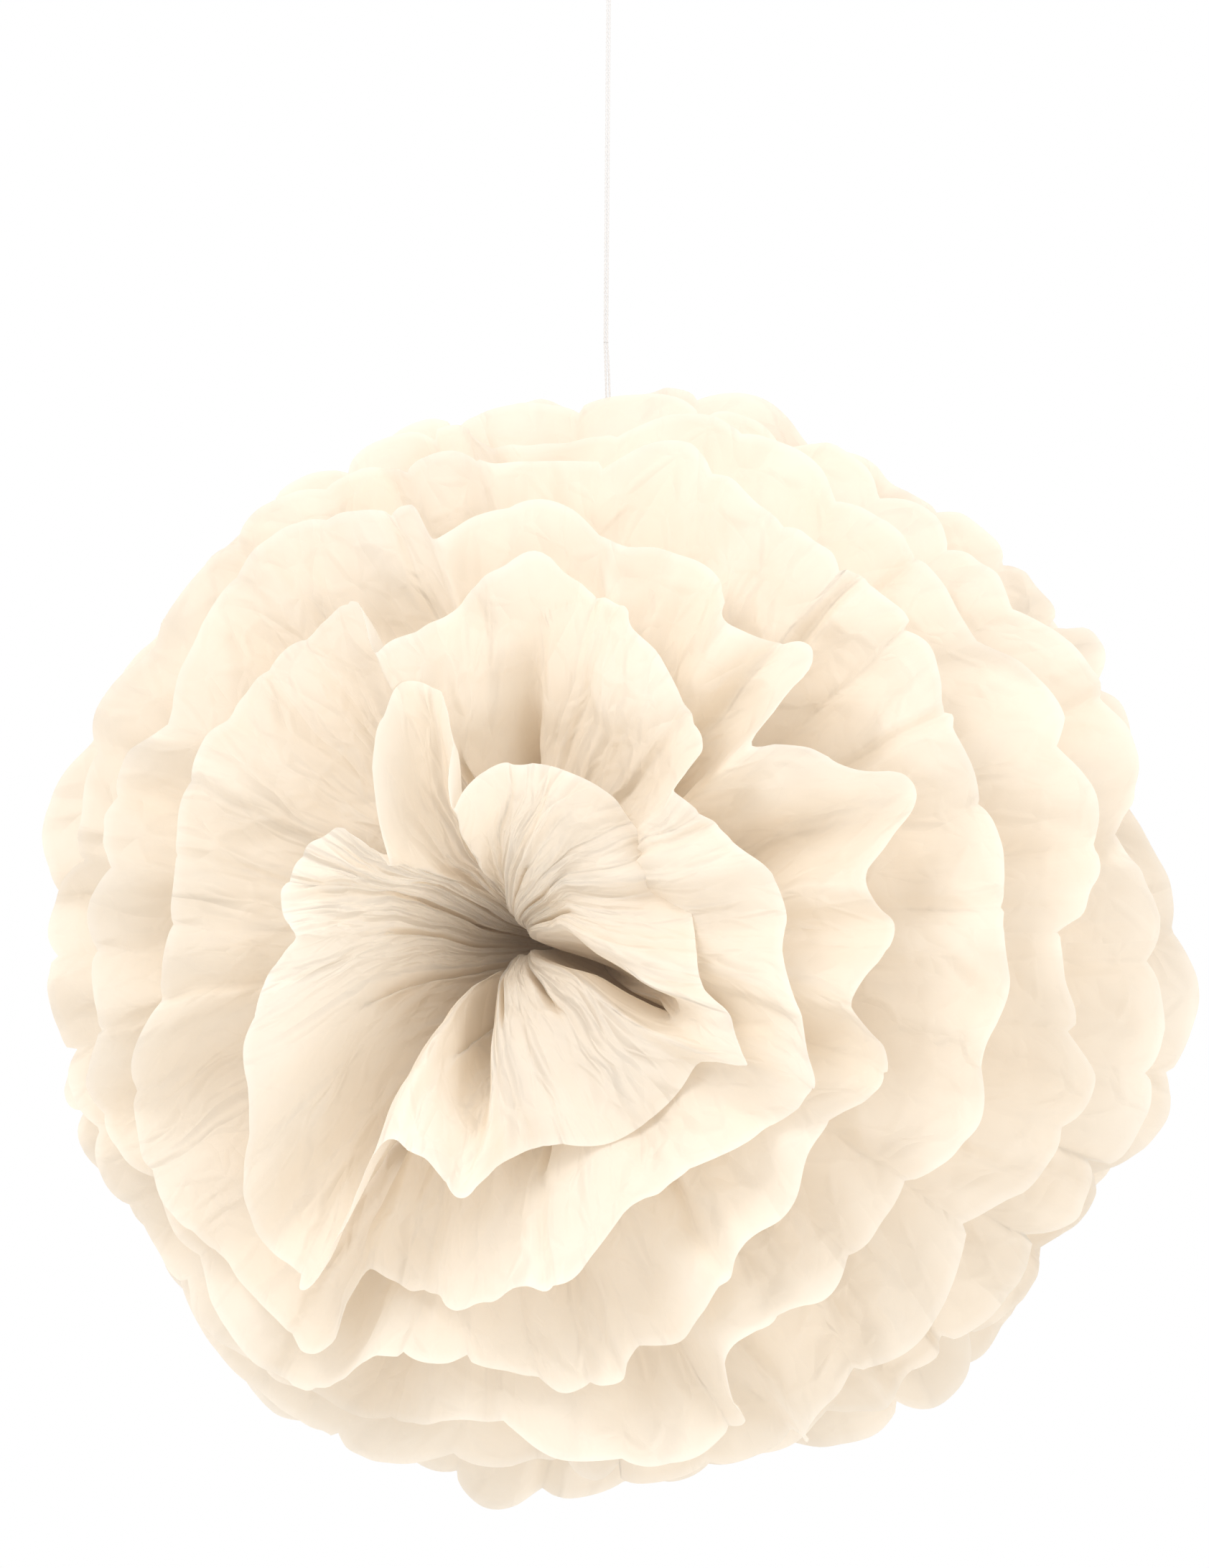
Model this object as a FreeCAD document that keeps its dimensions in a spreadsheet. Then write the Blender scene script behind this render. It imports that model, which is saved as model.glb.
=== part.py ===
import FreeCAD, Part

import math
import os

"""Hanging tissue-paper flower ball: fan-folded sheets tied round the middle with wire.

Frame: millimetres, +Z up, the origin where the hanging loop bears on its hook, the ball below.
The sheets open about the pole axis, which is level and turned a little from -Y towards -X.
Six sheets are drawn forward to the front pole and six back to the rear pole. The thread is
doubled: it is hitched round the wire and its two strands rise between the two halves.
"""

DIMENSIONS = (
    # alias, millimetres or degrees or a count
    ("ball_diameter", 400.0),
    ("sheets_each_side", 6),
    ("pleats_all_round", 30),
    ("paper_wall", 0.6),
    ("hub_pitch", 3.0),
    ("inner_rim_angle", 24.0),
    ("outer_rim_angle", 82.0),
    ("bowl_share", 0.35),
    ("shoulder_share", 0.4),
    ("pleat_swing", 2.5),
    ("lobe_depth", 9.0),
    ("pole_turn", 12.0),
    ("wire_diameter", 1.0),
    ("wire_loop_height", 11.0),
    ("wire_end_room", 2.0),
    ("wire_tail_length", 14.0),
    ("wire_clearance", 0.7),
    ("strand_diameter", 0.8),
    ("strand_gap", 0.1),
    ("touch_gap", 0.1),
    ("swing_gap", 0.3),
    ("knot_diameter", 3.6),
    ("loop_inner_width", 8.0),
    ("loop_height", 16.0),
    ("ball_drop", 360.0),
    ("join_height", 212.0),
    ("entry_height", 177.0),
)

doc = FreeCAD.newDocument("TissueFlowerBall")
sizes = doc.addObject("Spreadsheet::Sheet", "sizes")
for row, (alias, value) in enumerate(DIMENSIONS, start=1):
    sizes.set(f"A{row}", alias)
    sizes.set(f"B{row}", str(value))
    sizes.setAlias(f"B{row}", alias)
doc.recompute()

SIDEWAYS = FreeCAD.Vector(1, 0, 0)
UP_HERE = FreeCAD.Vector(0, 1, 0)  # up, in the frame of a sheet, whose +Z is its pole
POLE = FreeCAD.Vector(0, 0, 1)
ARC_SHARE = 0.45  # of the shorter run beside a bend
ENTRY_LEFT = 0.25  # where the strands pass between the petals, sideways of the ball's centre
ENTRY_RIGHT = 2.1
JOIN_OFFSET = -1.0  # the join of the two strands, sideways of the ball's centre
sub_parts = []


def size(alias):
    return float(sizes.get(alias))


def bind(thing, **expressions):
    """Bind properties of an object to expressions on the sheet; names with two underscores are paths."""
    for name, expression in expressions.items():
        thing.setExpression(name.replace("__", "."), expression)


def keep(thing, label):
    thing.Label = label
    sub_parts.append(thing)
    return thing


# ---------------------------------------------------------------- places

ball_centre = FreeCAD.Vector(0, 0, -size("ball_drop"))
upright = FreeCAD.Rotation(SIDEWAYS, 90)
front_turn = FreeCAD.Rotation(POLE, -size("pole_turn")).multiply(upright)
back_turn = FreeCAD.Rotation(POLE, 180 - size("pole_turn")).multiply(upright)
front_place = FreeCAD.Placement(ball_centre, front_turn)
back_place = FreeCAD.Placement(ball_centre, back_turn)


# ---------------------------------------------------------------- pleated sheets

def on_ball(apex, through, radius):
    """The point where the ray from apex through a point meets the sphere round the ball's centre."""
    ray = (through - apex).normalize()
    along = apex.dot(ray)
    return apex + ray * (-along + math.sqrt(along * along - apex.dot(apex) + radius * radius))


def sheet_levels(number):
    """Hub height, rim angle and shoulder angle of a sheet; number 1 is the one next to the pole."""
    count = int(size("sheets_each_side"))
    share = (number - 1) / (count - 1)
    hub = size("hub_pitch") * (count - number + 0.5)
    first, last = size("inner_rim_angle"), size("outer_rim_angle")
    rim_angle = first + (last - first) * share
    shoulder_angle = rim_angle + size("bowl_share") * (90 - rim_angle)
    return hub, math.radians(rim_angle), math.radians(shoulder_angle)


def meridian_point(distance, angle, turn, height):
    """A point at a distance and polar angle from a place on the pole axis, in the plane at a turn."""
    across = distance * math.sin(angle)
    along = height + distance * math.cos(angle)
    return FreeCAD.Vector(across * math.cos(turn), across * math.sin(turn), along)


def pleated_sheet(number):
    """One sheet as a bowl of flat pleat panels about +Z, each panel's outer end cut round.

    The hub band's fold lines meet at the hub and the rim band's at the cup point behind it, so
    every panel is flat. Mountain and valley folds swing either way from the sheet's mean slope.
    """
    hub, rim_angle, shoulder_angle = sheet_levels(number)
    ball_radius = size("ball_diameter") / 2
    shoulder = size("shoulder_share") * ball_radius
    swing = math.radians(size("pleat_swing"))
    pleats = int(size("pleats_all_round"))
    hub_point = FreeCAD.Vector(0, 0, hub)

    mean = meridian_point(shoulder, shoulder_angle, 0, hub)
    rim = meridian_point(ball_radius, rim_angle, 0, 0)
    cup_height = mean.z - mean.x * (rim.z - mean.z) / (rim.x - mean.x)
    cup_point = FreeCAD.Vector(0, 0, cup_height)

    folds = []
    for index in range(pleats):
        side = 1 if index % 2 else -1
        turn = 2 * math.pi * (index + 0.5) / pleats
        start = meridian_point(shoulder, shoulder_angle + side * swing, turn, hub)
        folds.append((start, on_ball(cup_point, start, ball_radius - size("lobe_depth"))))

    wall = FreeCAD.Vector(0, 0, size("paper_wall") / math.sin(rim_angle))
    faces = []
    for index in range(pleats):
        start, corner = folds[index]
        next_start, next_corner = folds[(index + 1) % pleats]
        tip = on_ball(cup_point, (start + next_start) * 0.5, ball_radius)
        lobe = Part.Arc(corner, tip, next_corner).toShape()
        hub_panel = Part.Face(Part.makePolygon([hub_point, start, next_start, hub_point]))
        outline = [
            Part.makeLine(next_corner, next_start),
            Part.makeLine(next_start, start),
            Part.makeLine(start, corner),
            lobe,
        ]
        rim_panel = Part.Face(Part.Wire(outline))
        faces += [hub_panel, rim_panel, hub_panel.translated(wall), rim_panel.translated(wall)]
        faces.append(lobe.extrude(wall))
    shell = Part.Shell(faces)
    shell.sewShape()
    solid = Part.Solid(shell)
    if solid.Volume < 0:
        solid.reverse()
    return solid.cut(wire_slots(hub, wall.z))


def wire_slots(hub, wall_height):
    """Two square holes beside the hub that the two runs of the wire loop pass through."""
    wide = size("wire_diameter") + 2 * size("wire_clearance")
    deep = 2 * size("hub_pitch") + wall_height + size("wire_loop_height")
    reach = size("wire_loop_height") / 2
    slots = []
    for side in (-1, 1):
        corner = FreeCAD.Vector(-wide / 2, side * reach - wide / 2, hub - deep / 2)
        slots.append(Part.makeBox(wide, wide, deep, corner))
    return slots


def make_sheets():
    for label, place in (("front_sheet", front_place), ("back_sheet", back_place)):
        for number in range(1, int(size("sheets_each_side")) + 1):
            sheet = doc.addObject("Part::Feature", f"{label}_{number}")
            sheet.Shape = pleated_sheet(number)
            sheet.Placement = place
            keep(sheet, f"{label}_{number}")


# ---------------------------------------------------------------- wire tie

HUB_STACK = "<<sizes>>.hub_pitch * (2 * <<sizes>>.sheets_each_side - 1)"
FIRST_SHOULDER = "(<<sizes>>.inner_rim_angle + <<sizes>>.bowl_share * (90 - <<sizes>>.inner_rim_angle))"
WIRE_RISE = f"<<sizes>>.wire_loop_height / 2 / tan({FIRST_SHOULDER})"
WIRE_RUN = f"({HUB_STACK} + 2 * ({WIRE_RISE} + <<sizes>>.wire_end_room))"
WIRE_RADIUS = "<<sizes>>.wire_diameter / 2"
WIRE_REACH = "<<sizes>>.wire_loop_height / 2"


def make_wire_tie():
    """A loop of wire drawn round the bundle along the pole axis, with its twisted tail in front.

    Its straight runs end beyond the place where they pass through the two sheets next to the poles.
    """
    pieces = []
    for name, side in (("wire_run_top", 1), ("wire_run_bottom", -1)):
        run = doc.addObject("Part::Cylinder", name)
        bind(run, Radius=WIRE_RADIUS, Height=WIRE_RUN)
        bind(run, Placement__Base__y=f"{side} * {WIRE_REACH}", Placement__Base__z=f"-{WIRE_RUN} / 2")
        pieces.append(run)
    for name, side in (("wire_bend_front", 1), ("wire_bend_back", -1)):
        bend = doc.addObject("Part::Torus", name)
        bend.Angle3 = 180
        bend.Placement.Rotation = FreeCAD.Rotation(UP_HERE, POLE * side, SIDEWAYS * side, "XYZ")
        bind(bend, Radius1=WIRE_REACH, Radius2=WIRE_RADIUS)
        bind(bend, Placement__Base__z=f"{side} * {WIRE_RUN} / 2")
        pieces.append(bend)
    tail = doc.addObject("Part::Cylinder", "wire_tail")
    bind(tail, Radius="<<sizes>>.wire_diameter", Height="<<sizes>>.wire_tail_length")
    bind(tail, Placement__Base__z=f"{WIRE_RUN} / 2 + {WIRE_REACH}")
    pieces.append(tail)
    tie = doc.addObject("Part::MultiFuse", "wire_tie")
    tie.Shapes = pieces
    tie.Placement = front_place
    keep(tie, "wire_tie")


# ---------------------------------------------------------------- thread

STRAND_RADIUS = "<<sizes>>.strand_diameter / 2"
HITCH_RADIUS = f"({WIRE_RADIUS} + <<sizes>>.touch_gap + {STRAND_RADIUS})"


def tube(label, edges, place):
    """A round thread swept along a path of straight runs and tangent arcs."""
    path = doc.addObject("Part::Feature", f"{label}_path")
    path.Shape = Part.Wire(edges)
    profile = doc.addObject("Part::Circle", f"{label}_profile")
    bind(profile, Radius=STRAND_RADIUS)
    first = edges[0]
    profile.Placement.Base = first.valueAt(first.FirstParameter)
    profile.Placement.Rotation = FreeCAD.Rotation(POLE, first.tangentAt(first.FirstParameter))
    sweep = doc.addObject("Part::Sweep", label)
    sweep.Sections = [profile]
    sweep.Spine = (path, [f"Edge{number + 1}" for number in range(len(edges))])
    sweep.Solid = True
    sweep.Placement.Base = place
    keep(sweep, label)


def rounded_route(label, points):
    """Straight runs between the points, with an arc at each inner point that suits its two runs."""
    edges = []
    leave = points[0]
    for before, corner, after in zip(points, points[1:], points[2:]):
        back, on = before - corner, after - corner
        run = min(back.Length, on.Length)
        turn = math.pi - back.getAngle(on)
        cut = ARC_SHARE * run
        radius = cut / math.tan(turn / 2)
        print(f"{label}: bend radius {radius:.0f} mm, turn {math.degrees(turn):.1f} degrees")
        arrive = corner + back.normalize() * cut
        depart = corner + on.normalize() * cut
        inward = (arrive + depart) * 0.5 - corner
        reach = radius / math.cos(turn / 2) - radius
        middle = corner + inward.normalize() * reach
        edges += [Part.makeLine(leave, arrive), Part.Arc(arrive, middle, depart).toShape()]
        leave = depart
    edges.append(Part.makeLine(leave, points[-1]))
    return edges


def make_thread():
    """The hitch on the wire, the two strands inside the ball and the pair above it, from the ball up."""
    hitch = doc.addObject("Part::Torus", "thread_hitch")
    bind(hitch, Radius1=HITCH_RADIUS, Radius2=STRAND_RADIUS)
    bind(hitch, Placement__Base__z=f"{WIRE_REACH} - <<sizes>>.ball_drop")
    hitch.Placement.Rotation = front_turn
    keep(hitch, "thread_hitch")

    strand, gap = size("strand_diameter"), size("touch_gap")
    half_pair = (strand + size("strand_gap")) / 2
    hitch_top = size("wire_loop_height") / 2 + size("wire_diameter") / 2 + strand + 2 * gap
    knot_height = size("ball_drop") - size("loop_height")
    pair_top = knot_height - size("knot_diameter") / 2 - size("swing_gap")
    for side, name, entry in ((-1, "left", ENTRY_LEFT), (1, "right", ENTRY_RIGHT)):
        low = FreeCAD.Vector(side * half_pair, 0, hitch_top)
        between_petals = FreeCAD.Vector(entry, 0, size("entry_height"))
        joined = FreeCAD.Vector(JOIN_OFFSET + side * half_pair, 0, size("join_height"))
        inside = rounded_route(f"lower_strand_{name}", [low, between_petals, joined])
        tube(f"lower_strand_{name}", inside, ball_centre)
        leave = joined + FreeCAD.Vector(0, 0, size("swing_gap"))
        above = FreeCAD.Vector(side * half_pair, 0, pair_top)
        tube(f"upper_strand_{name}", [Part.makeLine(leave, above)], ball_centre)


def make_hanging_loop():
    """The knot, and above it one strand that rises from the knot, round the hook and back."""
    knot = doc.addObject("Part::Sphere", "thread_knot")
    bind(knot, Radius="<<sizes>>.knot_diameter / 2", Placement__Base__z="-<<sizes>>.loop_height")
    keep(knot, "thread_knot")

    strand = size("strand_diameter")
    bend = (size("loop_inner_width") + strand) / 2
    eye = FreeCAD.Vector(0, 0, strand / 2 - bend)
    foot_height = size("knot_diameter") / 2 + size("swing_gap") - size("loop_height")
    foot = FreeCAD.Vector((strand + size("strand_gap")) / 2, 0, foot_height)
    to_eye = eye - foot
    leg = math.sqrt(to_eye.Length ** 2 - bend ** 2)
    lean = math.atan2(bend, leg) + math.atan2(to_eye.x, to_eye.z)
    touch = foot + FreeCAD.Vector(math.sin(lean), 0, math.cos(lean)) * leg
    left_foot = FreeCAD.Vector(-foot.x, 0, foot.z)
    left_touch = FreeCAD.Vector(-touch.x, 0, touch.z)
    crown = eye + FreeCAD.Vector(0, 0, bend)
    edges = [
        Part.makeLine(left_foot, left_touch),
        Part.Arc(left_touch, crown, touch).toShape(),
        Part.makeLine(touch, foot),
    ]
    tube("hanging_loop", edges, FreeCAD.Vector())


# ---------------------------------------------------------------- build, test and write

def fault(thing):
    if "Invalid" in thing.State or "Error" in thing.State:
        return "failed to recompute"
    if thing in sub_parts and (thing.Shape.isNull() or not thing.Shape.isValid()):
        return "has no valid shape"
    if thing in sub_parts and len(thing.Shape.Solids) != 1:
        return "is not one solid"
    return None


make_sheets()
make_wire_tie()
make_thread()
make_hanging_loop()
doc.recompute()
faults = [f"{thing.Label} {fault(thing)}" for thing in doc.Objects if fault(thing)]
if faults:
    raise RuntimeError("; ".join(faults))

os.makedirs("parts", exist_ok=True)
for thing in sub_parts:
    thing.Shape.exportStep(os.path.join("parts", f"{thing.Label}.step"))
print(f"{len(sub_parts)} sub-parts written")
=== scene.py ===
"""Hanging flower ball of fan-folded tissue paper, on a doubled thread.

Metres, in the frame of the CAD model: +Z up, the origin where the hanging loop bears on its hook.
Each sheet is drawn about a pole. A place on it is a turn about the pole, anticlockwise from the
right as seen from that pole, and a share of the way from the hub to the rim.
"""

import math

import bpy
import numpy as np
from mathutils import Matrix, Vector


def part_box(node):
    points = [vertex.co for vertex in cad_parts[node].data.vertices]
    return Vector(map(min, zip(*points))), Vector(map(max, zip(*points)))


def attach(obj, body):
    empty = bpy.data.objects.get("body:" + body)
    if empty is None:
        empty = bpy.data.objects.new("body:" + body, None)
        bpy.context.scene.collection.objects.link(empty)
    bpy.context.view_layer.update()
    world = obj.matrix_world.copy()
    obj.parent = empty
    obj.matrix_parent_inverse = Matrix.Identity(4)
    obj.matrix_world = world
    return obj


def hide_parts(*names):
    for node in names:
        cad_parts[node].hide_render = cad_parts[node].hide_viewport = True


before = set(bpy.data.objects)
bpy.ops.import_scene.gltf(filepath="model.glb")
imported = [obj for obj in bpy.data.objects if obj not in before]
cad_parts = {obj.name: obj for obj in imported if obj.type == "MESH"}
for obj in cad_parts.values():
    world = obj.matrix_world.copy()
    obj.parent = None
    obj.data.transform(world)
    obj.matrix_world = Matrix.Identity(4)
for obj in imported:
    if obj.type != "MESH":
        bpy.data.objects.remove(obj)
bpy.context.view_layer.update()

MM = 0.001
SHEETS_EACH_SIDE = 6
PLEATS = 30
PLEAT_WIDTH = 40 * MM
HUB_PITCH = 3 * MM
STRAND_DIAMETER = 0.8 * MM
SAMPLES_PER_PLEAT = 20
SAMPLES_ALONG = 48

# Seeds of the drawn numbers. A sheet's own seed is its number more than its side's.
SIDE_SEED = {"front": 0, "back": 20}
FOLD_SEED = {"front": 95, "back": 94}  # shared by a side's sheets, so that their folds nest
BACK_PETAL_SEED = 40

# Noises round the pole: the most waves in the turn, how many sines are summed, and how much is
# added to the seed, so that the noises of one sheet differ.
RIM_NOISE = (18, 9, 0)
LENGTH_NOISE = (14, 8, 100)
WAVE_NOISE = (26, 12, 200)
CURL_NOISE = (12, 6, 300)
LOBE_NOISE = (7, 6, 400)
LEAVE_NOISE = (14, 9, 500)
FOLD_NOISE = (7, 6, 0)


# ---------------------------------------------------------------- places, from the frame

def sheet_names(side):
    return [f"{side}_sheet_{number}" for number in range(1, SHEETS_EACH_SIDE + 1)]


sheet_boxes = [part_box(name) for side in ("front", "back") for name in sheet_names(side)]
ball_low = np.min([low for low, high in sheet_boxes], axis=0)
ball_high = np.max([high for low, high in sheet_boxes], axis=0)
BALL_CENTRE = (ball_low + ball_high) / 2
BALL_RADIUS = (ball_high[0] - ball_low[0]) / 2
UP = np.array([0.0, 0.0, 1.0])


def pole_frame(turn, lift):
    """The pole direction and the two directions across it, right and up as seen from that pole."""
    turn, lift = math.radians(turn), math.radians(lift)
    across = np.array([math.cos(turn), -math.sin(turn), 0.0])
    level = np.array([-math.sin(turn), -math.cos(turn), 0.0])
    pole = level * math.cos(lift) + UP * math.sin(lift)
    return pole, across, np.cross(pole, across)


# How far each pole is turned from the front towards the left, and how far it is lifted, in degrees.
FRONT = pole_frame(17, 3)
BACK = pole_frame(192, -2)


# ---------------------------------------------------------------- small functions on arrays

def smooth(share):
    share = np.clip(share, 0, 1)
    return share * share * (3 - 2 * share)


def around(handles, turns):
    """Smooth closed curve through handles (turn, value, ...), read at turns in degrees."""
    handles = np.array(sorted(handles), float)
    at, values = handles[:, 0], handles[:, 1:]
    at = np.concatenate([at[-2:] - 360, at, at[:2] + 360])
    values = np.concatenate([values[-2:], values, values[:2]])
    slopes = (values[2:] - values[:-2]) / (at[2:] - at[:-2])[:, None]
    at, values = at[1:-1], values[1:-1]
    turns = (turns - at[0]) % 360 + at[0]
    spot = np.clip(np.searchsorted(at, turns, side="right") - 1, 0, len(at) - 2)
    step = (at[spot + 1] - at[spot])[:, None]
    t = (turns - at[spot])[:, None] / step
    start, end = values[spot], values[spot + 1]
    start_slope, end_slope = slopes[spot] * step, slopes[spot + 1] * step
    return (start * (1 + 2 * t) * (1 - t) ** 2 + start_slope * t * (1 - t) ** 2
            + end * t * t * (3 - 2 * t) + end_slope * t * t * (t - 1))


WAVELENGTH_SPREAD = (0.7, 1.4)


def ripples(points, wavelength, count, seed):
    """Smooth seeded noise about 0 with three channels: the sum of plane waves in space."""
    draw = np.random.default_rng(seed)
    total = np.zeros(points.shape)
    for _ in range(count):
        way = draw.normal(size=3)
        way *= 2 * math.pi / (wavelength * draw.uniform(*WAVELENGTH_SPREAD)) / np.linalg.norm(way)
        total += np.sin(points @ way + draw.uniform(0, 2 * math.pi))[..., None] * draw.normal(size=3)
    return total / math.sqrt(count)


def around_noise(turns, kind, seed):
    """Smooth seeded closed noise round the pole, about 0."""
    waves, count, more = kind
    draw = np.random.default_rng(seed + more)
    total = np.zeros(len(turns))
    for _ in range(count):
        order = draw.integers(max(1, waves // 3), waves + 1)
        total += draw.normal() * np.sin(np.radians(turns) * order + draw.uniform(0, 2 * math.pi))
    return total / math.sqrt(count)


# ---------------------------------------------------------------- sheets

# How each front sheet opens. A handle is (turn about the pole, opening of the rim from the pole,
# the angle at which the paper leaves the hub), in degrees. A low leave makes a crest, which runs
# up beside the pole and then curls outward; a high one makes a deep valley. Where a rim's opening
# is small between two petals, the next sheet shows in the notch.
FRONT_OPENINGS = {
    1: (
        (335, 31, 20), (341, 30, 23), (348, 29, 7), (358, 28, 4), (14, 27, 3), (31, 25, 3),
        (48, 22, 3), (62, 19, 3), (72, 15, 4), (79, 9, 4), (86, 17, 5), (95, 24, 6),
        (103, 27, 6), (109, 18, 5), (115, 9, 6), (125, 9, 6), (146, 10, 7), (160, 12, 8),
        (171, 14, 9), (189, 14, 9), (206, 19, 10), (218, 26, 12), (230, 35, 18),
        (241, 43, 24), (246, 38, 31), (250, 26, 18), (256, 21, 8), (264, 20, 8),
        (272, 22, 20), (278, 25, 19), (284, 29, 5), (293, 31, 4), (305, 33, 4),
        (317, 34, 4), (328, 33, 6),
    ),
    2: (
        (340, 37, 30), (352, 36, 16), (1, 34, 14), (14, 30, 13), (27, 26, 13), (34, 22, 16),
        (42, 35, 14), (50, 39, 14), (57, 39, 16), (63, 38, 18), (70, 43, 15), (76, 42, 19),
        (80, 37, 29), (83, 34, 31), (87, 35, 21), (94, 32, 13), (101, 28, 14), (106, 20, 13),
        (111, 36, 16),
        (119, 41, 18), (126, 43, 17), (134, 41, 16), (143, 37, 16), (152, 35, 17),
        (165, 32, 17), (177, 32, 17), (190, 36, 20), (199, 40, 26), (205, 47, 25),
        (213, 51, 26), (226, 54, 30), (238, 57, 36), (246, 50, 42), (251, 37, 22),
        (257, 41, 17), (263, 43, 17), (272, 42, 18), (279, 38, 24), (284, 35, 30),
        (292, 38, 24), (301, 39, 21), (312, 37, 26), (322, 39, 21), (331, 41, 21),
    ),
    3: (
        (341, 46, 36), (348, 44, 24), (354, 42, 21), (1, 45, 20), (10, 49, 21), (18, 50, 24),
        (25, 45, 24), (31, 42, 26), (36, 28, 20), (41, 44, 30), (48, 49, 24), (55, 46, 22),
        (61, 50, 22), (66, 52, 25), (71, 47, 30), (79, 50, 34), (85, 46, 34), (90, 42, 28),
        (95, 34, 24), (99, 43, 27), (105, 51, 30), (112, 53, 33), (119, 55, 34), (127, 52, 38),
        (138, 50, 34), (150, 46, 33), (162, 43, 32), (176, 43, 32), (190, 48, 35),
        (201, 51, 40), (212, 58, 38), (224, 59, 39), (236, 63, 44), (246, 60, 50),
        (253, 50, 42), (264, 49, 30), (275, 50, 30), (284, 53, 42), (292, 50, 29),
        (301, 49, 27), (308, 47, 34), (314, 43, 29), (323, 47, 28), (332, 46, 28),
    ),
    4: (
        (334, 53, 42), (341, 59, 46), (348, 61, 40), (355, 56, 38), (2, 57, 38), (10, 61, 40),
        (20, 60, 44), (29, 57, 48), (38, 58, 50), (46, 61, 44), (55, 59, 38), (63, 63, 38),
        (72, 60, 46), (80, 64, 50), (88, 62, 46), (94, 53, 44), (100, 60, 45), (107, 66, 46),
        (118, 69, 50), (131, 62, 51), (144, 61, 48), (160, 55, 46), (176, 58, 46),
        (192, 61, 48), (205, 62, 53), (218, 68, 52), (232, 72, 54), (246, 71, 58),
        (258, 58, 46), (270, 61, 42), (279, 57, 46), (285, 66, 50), (291, 63, 42),
        (297, 55, 40), (304, 52, 42), (312, 56, 46), (320, 57, 40), (327, 57, 38),
    ),
    5: (
        (340, 71, 58), (352, 73, 54), (3, 67, 54), (13, 71, 56), (24, 74, 60), (36, 67, 57),
        (47, 72, 55), (59, 71, 54), (72, 76, 60), (84, 73, 57), (94, 68, 54), (105, 75, 57),
        (118, 78, 60), (131, 71, 60), (144, 71, 58), (160, 65, 55), (176, 68, 56),
        (192, 70, 58), (205, 69, 61), (218, 76, 61), (232, 79, 63), (246, 77, 67),
        (259, 70, 58), (273, 75, 57), (288, 75, 60), (300, 68, 55), (313, 71, 56),
        (327, 67, 55),
    ),
    6: (
        (340, 85, 72), (354, 87, 70), (9, 81, 68), (24, 88, 72), (40, 83, 70), (56, 88, 71),
        (72, 86, 73), (88, 88, 70), (104, 83, 69), (120, 86, 72), (136, 81, 71), (152, 80, 69),
        (170, 76, 68), (188, 80, 70), (206, 79, 71), (222, 85, 73), (238, 86, 75),
        (254, 88, 74), (270, 84, 71), (288, 89, 73), (306, 83, 70), (324, 87, 71),
    ),
}

RIM_STRAY = (0.6, 1.0, 1.8, 2.6, 3.0, 2.8)  # of each sheet's opening, in degrees
LEAVE_STRAY = (0.3, 0.8, 2.0, 3.5, 4.5, 4.5)  # of the angle at which it leaves the hub
BACK_OPENINGS = (24, 36, 48, 60, 71, 83)  # of each back sheet in the middle, in degrees
BACK_SWINGS = (8, 10, 10, 7, 4, 2)  # how far its rim goes either side of that
BACK_PETALS = 9
BACK_PETAL_WIDTHS = (24, 52)  # before they are stretched to fill the turn
CREST_RANGE = (-0.1, 0.9)  # of the swing, past the middle opening
NOTCH_RANGE = (0.4, 1.1)  # of the swing, short of the middle opening
NOTCH_CHANCE = 0.6
DEEPEST_LEAVE = 0.85  # of the opening
LEAST_GAP = (2.0, 1.6)  # of opening and of leave, from one sheet to the next, in degrees
GAP_SOFTNESS = 2.0  # how gently a sheet that comes too near its neighbour is held off it
LEAST_BEND = 2.0  # from the leave to the opening, in degrees


def back_openings(number):
    """Handles for a back sheet: petals of seeded widths, with a valley or a notch after each."""
    draw = np.random.default_rng(BACK_PETAL_SEED + number)
    middle, swing = BACK_OPENINGS[number - 1], BACK_SWINGS[number - 1]
    least = 0.3 + 0.09 * number  # the leave of a crest, as a share of the opening
    widths = draw.uniform(*BACK_PETAL_WIDTHS, BACK_PETALS)
    widths *= 360 / widths.sum()
    starts = np.concatenate([[0], np.cumsum(widths)[:-1]]) + draw.uniform(0, 20)
    handles = []
    for start, width in zip(starts, widths):
        crest = middle + draw.uniform(*CREST_RANGE) * swing
        if draw.uniform() < NOTCH_CHANCE:
            between = middle - draw.uniform(*NOTCH_RANGE) * swing
            deep = min(DEEPEST_LEAVE, least + 0.15)
        else:
            between = middle + draw.uniform(0, 2)
            deep = min(DEEPEST_LEAVE, least + 0.4)
        handles.append((start % 360, between, middle * deep))
        handles.append(((start + width * 0.3) % 360, crest, middle * draw.uniform(least, least + 0.1)))
        handles.append(((start + width * 0.7) % 360, crest + draw.uniform(-2, 2), middle * least))
    return handles


TIP_REACH = 6  # samples either way over which a petal's tip is made broad
TIP_BLUR = 3
TIP_SHARE = 0.7  # of the broadened curve in the result


def rounded_tips(values):
    """A closed curve with its peaks made broad and its notches narrow, as between round petals."""
    reach = range(-TIP_REACH, TIP_REACH + 1)
    broad = np.max([np.roll(values, step) for step in reach], axis=0)
    blur = [np.roll(broad, step) for step in range(-TIP_BLUR, TIP_BLUR + 1)]
    return np.mean(blur, axis=0) * TIP_SHARE + values * (1 - TIP_SHARE)


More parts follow.
